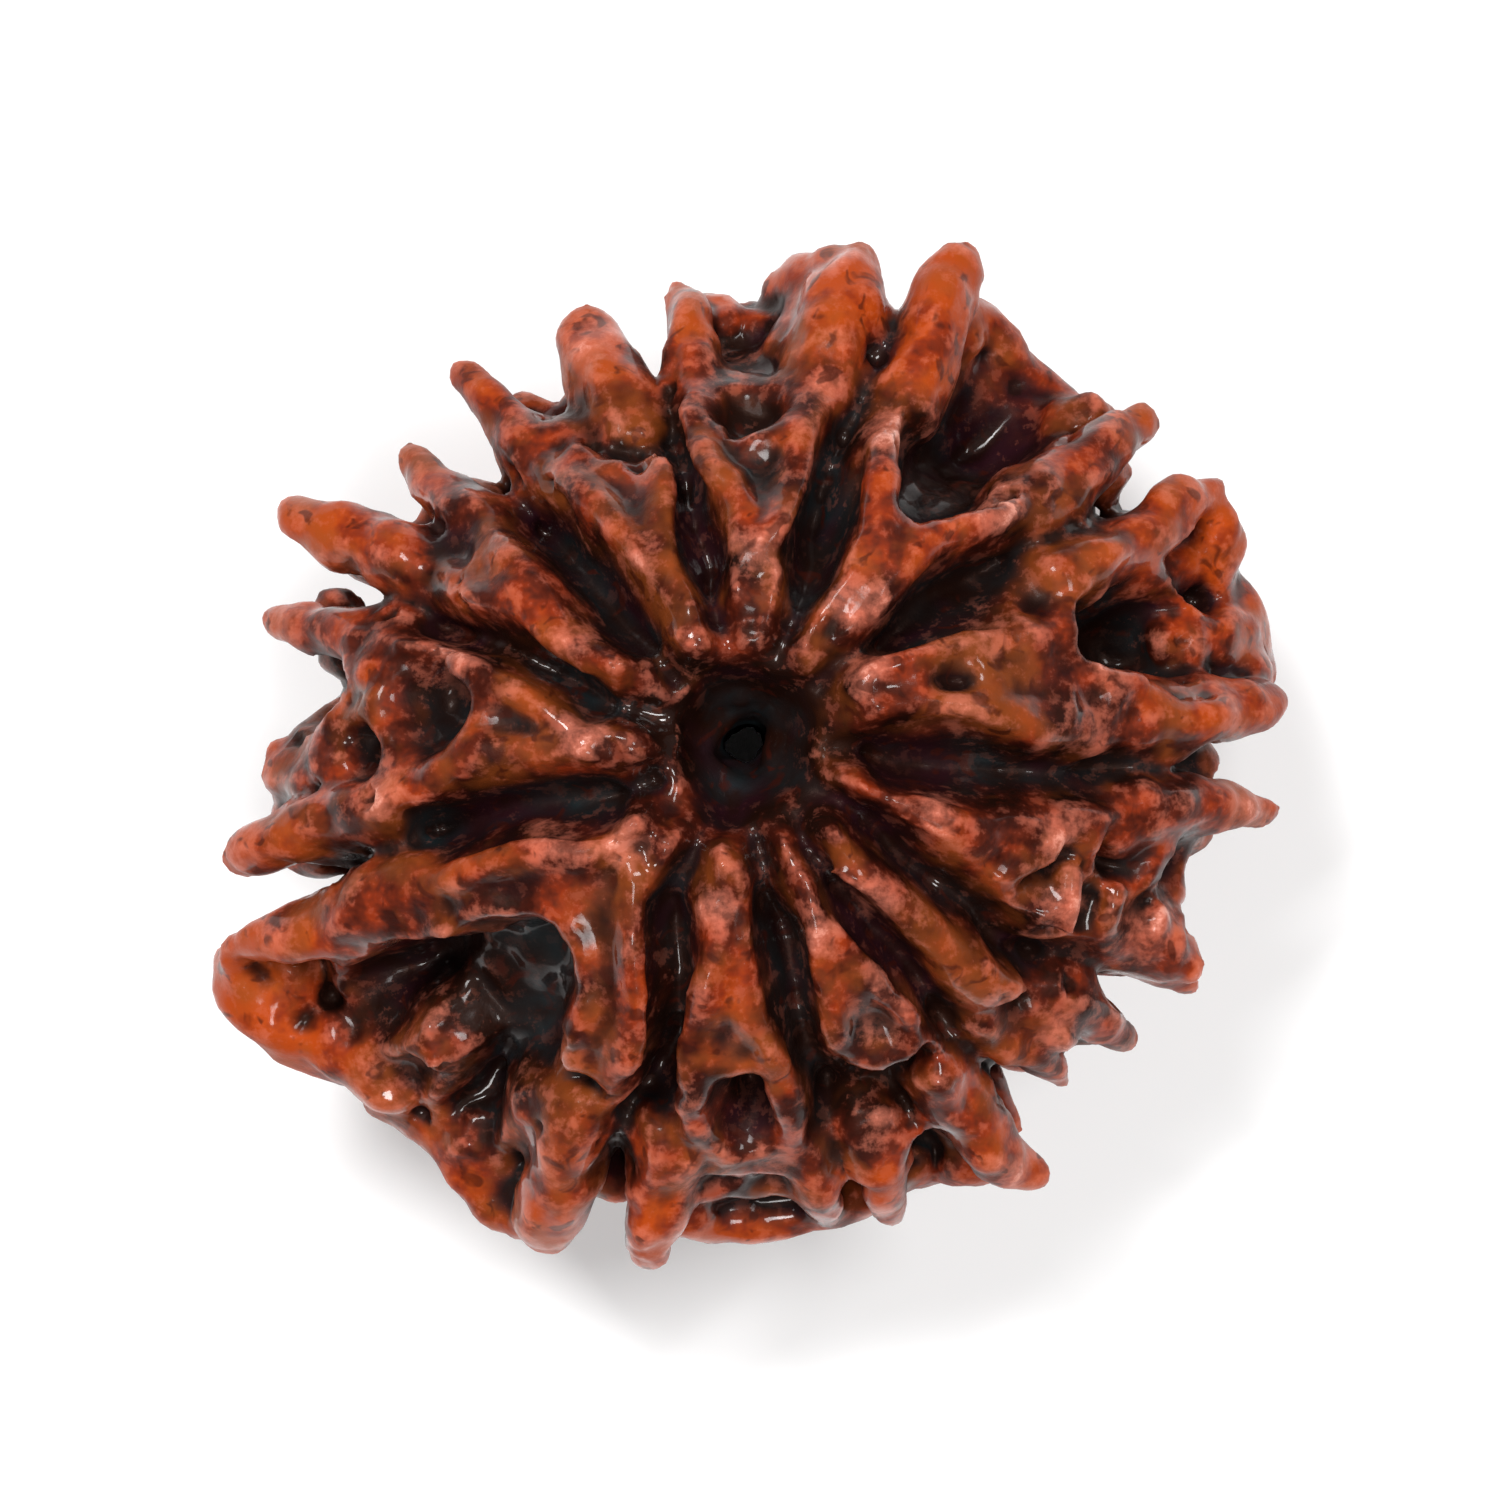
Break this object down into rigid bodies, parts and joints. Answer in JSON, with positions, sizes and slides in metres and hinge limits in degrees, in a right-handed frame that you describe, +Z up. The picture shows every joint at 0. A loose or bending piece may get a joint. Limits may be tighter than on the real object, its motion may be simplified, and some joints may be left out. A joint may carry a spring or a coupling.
{
  "type": "rudraksha bead",
  "caption": "Rudraksha bead: a ridged red-brown fruit stone with thorny ribs and dark clefts from pole to pole, and a thread canal through its middle.",
  "frame": {"origin": "middle of the outline seen along the thread canal, at the level of the flat spots it rests on", "axes": "+Z up along the thread canal, +X to the right and +Y to the top of the picture, which looks down the canal"},
  "size_m": [0.0278, 0.0272, 0.0195],
  "materials": {
    "seed_coat": "glossy"
  },
  "bodies": {
    "root": {"bead": "seed_coat"}
  },
  "joints": []
}
